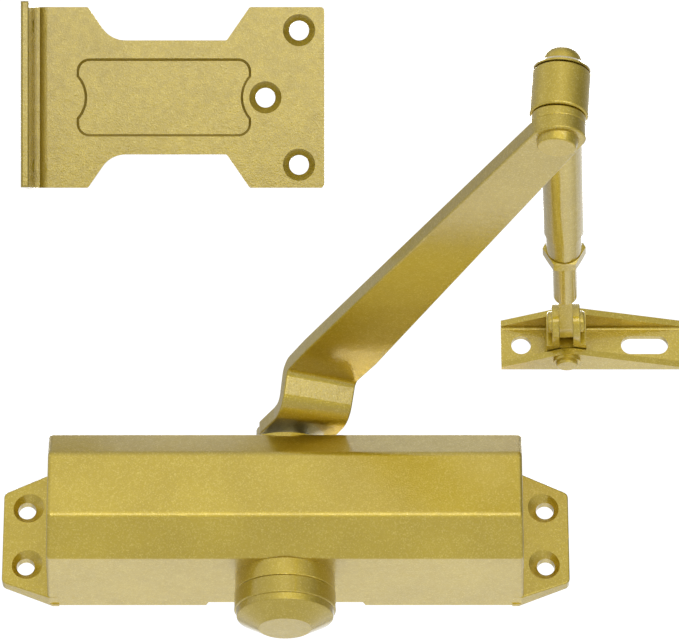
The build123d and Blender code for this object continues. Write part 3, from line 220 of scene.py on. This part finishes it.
def gold_paint(name, peel=PEEL_HEIGHT, hammer=0.0, sheared=None, gloss=0.05, shade=1.0):
    """Glossy metallic paint: fine flakes under a clear coat, with orange peel.

    peel is the depth of the orange peel.
    hammer is the depth of the hammered skin of a thick coat on a casting or pressing.
    sheared stretches a second, streaky bump, for a side that was cut in a press.
    gloss is the roughness of the clear coat, and shade darkens the colour below it: painted shade, a darker
    copy of the same paint for a piece meant to look less lit.
    """
    s = Shader(name)
    flakes = s.cells(FLAKES_PER_METRE)
    clouds = s.share(s.noise(CLOUDS_PER_METRE, detail=3.0))
    flake_share = s.ramp(flakes.outputs["Color"], FLAKE_FROM, 1.0, 0.0, FLAKE_SHARE)
    # shade below 1 darkens every colour of the paint as painted shade
    base = s.mix(clouds, shaded(GOLD_DEEP, shade), shaded(GOLD, shade))
    s.link(s.mix(flake_share, base, shaded(GOLD_FLAKE, shade)), s.surface.inputs["Base Color"])
    s.uneven_roughness(s.noise(400.0), least=0.34, most=0.46)
    s.fix(Metallic=0.90, Coat_Weight=1.0, Coat_Roughness=gloss, Coat_IOR=1.65)
    flake_tilt = s.bump(flakes.outputs["Distance"], FLAKE_HEIGHT, strength=0.5)
    skin = s.bump(s.noise(PEEL_PER_METRE), peel, under=flake_tilt)
    coat = s.bump(s.noise(PEEL_PER_METRE), peel)
    if hammer:
        dimples = s.noise(DIMPLES_PER_METRE)
        skin = s.bump(dimples, hammer, under=skin)
        coat = s.bump(dimples, hammer, under=coat)
    if sheared:
        streaks = s.noise(STREAKS_PER_METRE, detail=3.0, roughness=0.6, place=s.stretched(sheared))
        skin = s.bump(streaks, STREAK_HEIGHT, strength=0.7, under=skin)
        coat = s.bump(streaks, STREAK_HEIGHT, strength=0.7, under=coat)
    s.link(skin, s.surface.inputs["Normal"])
    s.link(coat, s.surface.inputs["Coat Normal"])
    return s.material


# Stretched for marks that go round a piece turned about X or Z, and for streaks along Z
TURNED_ABOUT_X = (14.0, 1.0, 1.0)
TURNED_ABOUT_Z = (1.0, 1.0, 14.0)
SHEARED_ALONG_Z = (1.0, 1.0, 0.12)


def turned_metal(name, colour, roughness, across=TURNED_ABOUT_Z):
    """Machined metal with fine turning marks and slightly uneven polish.

    across stretches the marks: they run along the axes where it is small.
    """
    s = Shader(name)
    marks = s.noise(TURNING_MARKS_PER_METRE, roughness=0.6, place=s.stretched(across))
    tone = s.share(s.noise(180.0, detail=3.0))
    s.link(s.mix(tone, shaded(colour, WORN_SHADE), colour), s.surface.inputs["Base Color"])
    s.uneven_roughness(marks, least=roughness * 0.8, most=roughness * 1.25)
    s.fix(Metallic=1.0)
    s.link(s.bump(marks, TURNING_MARK_HEIGHT, strength=0.6), s.surface.inputs["Normal"])
    return s.material


def cast_iron(name):
    """Grey machined iron with an open grain."""
    s = Shader(name)
    grain = s.noise(1400.0, detail=4.0, roughness=0.65)
    s.link(s.mix(grain, IRON_DARK, IRON_LIGHT), s.surface.inputs["Base Color"])
    s.uneven_roughness(grain, least=0.38, most=0.58)
    s.fix(Metallic=0.9)
    s.link(s.bump(grain, distance=0.00003, strength=0.5), s.surface.inputs["Normal"])
    return s.material


def rubber(name):
    """Matt black moulded rubber."""
    s = Shader(name)
    grain = s.noise(2200.0, detail=3.0)
    s.link(s.mix(grain, RUBBER_DARK, RUBBER_LIGHT), s.surface.inputs["Base Color"])
    s.uneven_roughness(grain, least=0.5, most=0.72)
    s.link(s.bump(grain, distance=0.00002, strength=0.5), s.surface.inputs["Normal"])
    return s.material


def dress(material, *names):
    """Give these CAD nodes a material."""
    for name in names:
        slots = nodes[name].data.materials
        slots.clear()
        slots.append(material)


def paint_everything(spring_wire):
    """Every CAD node gets its material: gold paint outside, and plate, bare metal and rubber elsewhere."""
    dress(
        gold_paint("paint_on_casting", hammer=HAMMER_HEIGHT, gloss=0.16),
        "housing", "left_end_plug", "right_end_plug",
    )
    # The cap's paint is darkened as painted shade, for the cone and rings that face down and should look
    # darker
    dress(gold_paint("paint_on_cap_with_painted_shade", peel=FINE_SKIN_HEIGHT, shade=0.86), "spindle_cap")
    # The arm's paint is darkened as painted shade, for its underside, which should look darker than the
    # light here makes it
    dress(
        gold_paint("paint_on_strip_with_painted_shade", hammer=HAMMER_HEIGHT / 2.0, sheared=SHEARED_ALONG_Z, shade=0.90),
        "main_arm",
    )
    # The bracket's paint is a much darker copy, painted shade for a bracket that the lamps here light too
    # brightly
    dress(
        gold_paint("paint_on_bracket_with_painted_shade", hammer=HAMMER_HEIGHT, gloss=0.12, shade=0.70),
        "parallel_arm_bracket",
    )
    dress(gold_paint("paint_on_shoe", hammer=HAMMER_HEIGHT, gloss=0.12), "shoe")
    dress(
        gold_paint("paint_on_turned_parts", peel=FINE_SKIN_HEIGHT, hammer=FINE_SKIN_HEIGHT),
        "elbow_collar", "elbow_rivet", "elbow_cap", "forearm",
    )
    dress(
        gold_paint("paint_on_small_parts", hammer=HAMMER_HEIGHT, gloss=0.08),
        "locknut", "adjuster_rod", "swivel_clevis", "clevis_rivet", "shoe_pin",
    )
    dress(
        turned_metal("zinc_plate", ZINC, 0.30),
        "arm_seat_washer", "arm_washer", "arm_screw", "upper_gland_ring", "lower_gland_ring",
    )
    dress(
        turned_metal("ground_steel", STEEL, 0.22),
        "spindle", "upper_bearing", "lower_bearing", "check_ball", "check_ball_retainer",
    )
    dress(
        turned_metal("valve_brass", BRASS, 0.28, across=TURNED_ABOUT_X),
        "closing_speed_valve", "latching_speed_valve",
    )
    dress(cast_iron("piston_iron"), "piston")
    dress(spring_wire, "return_spring")
    dress(
        rubber("seal_rubber"),
        "left_end_plug_seal", "right_end_plug_seal", "upper_shaft_seal", "lower_shaft_seal",
        "closing_speed_valve_seal", "latching_speed_valve_seal",
    )


# ---------------------------------------------------------------- return spring
SPRING_LEFT = 0.0177
SPRING_RIGHT = 0.0593
SPRING_AXIS_Y = -0.022
SPRING_COIL_R = 0.011
SPRING_WIRE_R = 0.0016
SPRING_TURNS = 5
STEPS_PER_TURN = 48
WIRE_SIDES = 16
FULL_TURN = 2.0 * math.pi


def round_wire(coil, centre, outward, along):
    """One ring of the wire's surface, square to its run."""
    side = along.cross(outward)
    ring = []
    for corner in range(WIRE_SIDES):
        angle = FULL_TURN * corner / WIRE_SIDES
        spoke = outward * math.cos(angle) + side * math.sin(angle)
        ring.append(coil.verts.new(centre + spoke * SPRING_WIRE_R))
    return ring


def spring_mesh():
    """A coil of round wire along X, with flat ends."""
    coil = bmesh.new()
    steps = SPRING_TURNS * STEPS_PER_TURN
    length = SPRING_RIGHT - SPRING_LEFT
    rise = length / (SPRING_TURNS * FULL_TURN)
    rings = []
    for step in range(steps + 1):
        turn = FULL_TURN * step / STEPS_PER_TURN
        outward = Vector((0.0, math.cos(turn), math.sin(turn)))
        around = Vector((0.0, -math.sin(turn), math.cos(turn)))
        along = (around * SPRING_COIL_R + Vector((rise, 0.0, 0.0))).normalized()
        centre = Vector((SPRING_LEFT + length * step / steps, SPRING_AXIS_Y, 0.0)) + outward * SPRING_COIL_R
        rings.append(round_wire(coil, centre, outward, along))
    for here, there in zip(rings, rings[1:]):
        for corner in range(WIRE_SIDES):
            after = (corner + 1) % WIRE_SIDES
            face = coil.faces.new((here[corner], here[after], there[after], there[corner]))
            face.smooth = True
    coil.faces.new(tuple(reversed(rings[0])))
    coil.faces.new(tuple(rings[-1]))
    bmesh.ops.recalc_face_normals(coil, faces=coil.faces)
    mesh = bpy.data.meshes.new("return_spring_coil")
    coil.to_mesh(mesh)
    coil.free()
    return mesh


def make_spring(spring_wire):
    """The return spring, as a fixed coil on the closer body; in the closer the piston shortens it as the
    arm swings.
    """
    mesh = spring_mesh()
    mesh.materials.append(spring_wire)
    spring = show("return_spring_coil", mesh)
    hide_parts("return_spring")
    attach(spring, "closer_body")
    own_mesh(spring)


# ---------------------------------------------------------------- stage and light
FLOOR_Z = -1.9
FLOOR_REACH = 30.0
PAPER_DARK = (0.86, 0.86, 0.85)
PAPER_LIGHT = (0.90, 0.90, 0.89)


def make_floor():
    """A wide sheet of pale paper, well below the closer."""
    mesh = bpy.data.meshes.new("floor")
    signs = ((-1.0, -1.0), (1.0, -1.0), (1.0, 1.0), (-1.0, 1.0))
    corners = [(x * FLOOR_REACH, y * FLOOR_REACH, FLOOR_Z) for x, y in signs]
    mesh.from_pydata(corners, [], [(0, 1, 2, 3)])
    floor = show("floor", mesh)
    s = Shader("floor_paper")
    grain = s.noise(40.0, detail=4.0)
    s.link(s.mix(grain, PAPER_DARK, PAPER_LIGHT), s.surface.inputs["Base Color"])
    s.fix(Roughness=0.8)
    mesh.materials.append(s.material)


def soft_light(name, place, aim, size, power):
    """A white rectangular lamp at a place, turned to face another."""
    data = bpy.data.lights.new(name, "AREA")
    data.shape = "RECTANGLE"
    data.size, data.size_y = size
    data.energy = power
    light = show(name, data)
    light.location = place
    light.rotation_euler = (Vector(aim) - Vector(place)).to_track_quat("-Z", "Y").to_euler()


# How bright the studio is in each direction around the object: the share of a turn from the
# front, to the left below zero and to the right above it, against the brightness there.
STUDIO = (
    (-1.00, 1.10), (-0.955, 1.08), (-0.90, 0.50), (-0.60, 0.55), (-0.42, 0.90),
    (-0.25, 0.80), (-0.10, 0.90), (0.00, 1.10), (0.09, 0.90), (0.26, 0.55),
    (0.46, 0.24), (0.78, 0.48), (0.87, 1.00), (0.94, 1.08), (1.00, 1.10),
)
# A colour ramp holds values up to 1, so the levels above go through it divided by this
STUDIO_PEAK = 2.0
# The studio dims with height, between these upward parts of a unit direction
DIM_FROM = 0.50
DIM_TO = 0.80
OVERHEAD_LEVEL = 0.80


def studio_ramp(tree):
    """The STUDIO levels as a colour ramp, over the share of a turn from 0 to 1."""
    ramp = tree.nodes.new("ShaderNodeValToRGB")
    ramp.color_ramp.interpolation = "EASE"
    stops = ramp.color_ramp.elements
    last = len(STUDIO) - 1
    for index, (place, level) in enumerate(STUDIO):
        position = (place + 1.0) / 2.0
        if index in (0, last):
            stop = stops[0 if index == 0 else -1]
            stop.position = position
        else:
            stop = stops.new(position)
        grey = level / STUDIO_PEAK
        stop.color = (grey, grey, grey, 1.0)
    return ramp


def make_world():
    """A white studio, brighter in front and behind than at the sides, and dimmer overhead."""
    world = bpy.data.worlds.new("studio")
    bpy.context.scene.world = world
    world.use_nodes = True
    tree = world.node_tree

    def calculate(operation, first, second):
        """A maths node of two values, each a socket or a number."""
        node = tree.nodes.new("ShaderNodeMath")
        node.operation = operation
        for socket, value in zip(node.inputs, (first, second)):
            if isinstance(value, float):
                socket.default_value = value
            else:
                tree.links.new(value, socket)
        return node.outputs[0]

    split = tree.nodes.new("ShaderNodeSeparateXYZ")
    tree.links.new(tree.nodes.new("ShaderNodeTexCoord").outputs["Generated"], split.inputs[0])
    from_front = calculate("ARCTAN2", split.outputs["X"], calculate("MULTIPLY", split.outputs["Y"], -1.0))
    ramp = studio_ramp(tree)
    tree.links.new(spread(tree, from_front, -math.pi, math.pi, 0.0, 1.0), ramp.inputs["Fac"])
    around = calculate("MULTIPLY", ramp.outputs["Color"], STUDIO_PEAK)
    upward = spread(tree, split.outputs["Z"], DIM_FROM, DIM_TO, 1.0, OVERHEAD_LEVEL)
    background = tree.nodes["Background"]
    background.inputs["Color"].default_value = (1.0, 1.0, 1.0, 1.0)
    tree.links.new(calculate("MULTIPLY", around, upward), background.inputs["Strength"])


def make_light():
    """The lamps: the studio's own brightness does the rest."""
    # A long low strip in front, a little to the right, draws the bright edges
    soft_light(
        "low_strip",
        place=(0.55, -2.3, -0.50), aim=(0.0, 0.0, -0.05), size=(3.0, 0.95), power=18.0,
    )
    # The far floor is brighter than the near floor
    soft_light(
        "back_floor_light",
        place=(0.0, 4.5, 3.0), aim=(0.0, 4.5, FLOOR_Z), size=(3.0, 3.0), power=175.0,
    )
    bpy.context.scene.view_settings.view_transform = "Standard"


make_camera()
wire_metal = turned_metal("spring_wire", OILED_STEEL, 0.35)
paint_everything(wire_metal)
make_spring(wire_metal)
make_floor()
make_world()
make_light()
